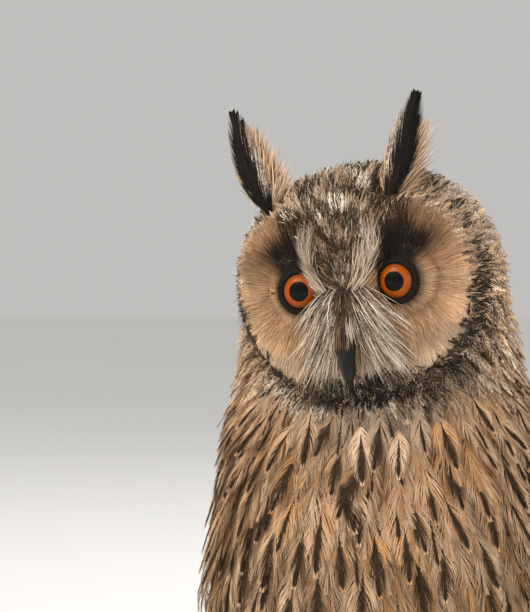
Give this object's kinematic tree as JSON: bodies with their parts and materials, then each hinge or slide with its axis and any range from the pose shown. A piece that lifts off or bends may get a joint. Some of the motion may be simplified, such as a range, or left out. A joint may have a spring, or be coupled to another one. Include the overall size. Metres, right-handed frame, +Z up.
{
  "type": "long-eared owl figure",
  "caption": "Life-size long-eared owl standing on the floor with folded wings and raised ear tufts, a still display model.",
  "frame": {"origin": "middle of the underside of the box that holds the bird, on the floor", "axes": "+Z up, -Y the way the bird faces, +X to the bird's left"},
  "size_m": [0.144, 0.2158, 0.3117],
  "materials": {
    "plumage": "soft buff and brown body feathers with dark streaks",
    "flight_feathers": "barred grey-brown wing and tail feathers",
    "ear_tuft": "blackish feathers edged with buff",
    "leg_plumage": "short plain buff feathers",
    "eye": "wet glossy orange iris with a black pupil",
    "horn": "satin black horn"
  },
  "bodies": {
    "root": {"head": "plumage", "neck": "plumage", "torso": "plumage", "tail": "flight_feathers", "beak_upper": "horn", "beak_lower": "horn", "eye_left": "eye", "ear_tuft_left": "ear_tuft", "wing_left": "flight_feathers", "leg_left": "leg_plumage", "foot_left": "leg_plumage", "claw_left_inner": "horn", "claw_left_middle": "horn", "claw_left_outer": "horn", "claw_left_hind": "horn", "eye_right": "eye", "ear_tuft_right": "ear_tuft", "wing_right": "flight_feathers", "leg_right": "leg_plumage", "foot_right": "leg_plumage", "claw_right_inner": "horn", "claw_right_middle": "horn", "claw_right_outer": "horn", "claw_right_hind": "horn"}
  },
  "joints": []
}
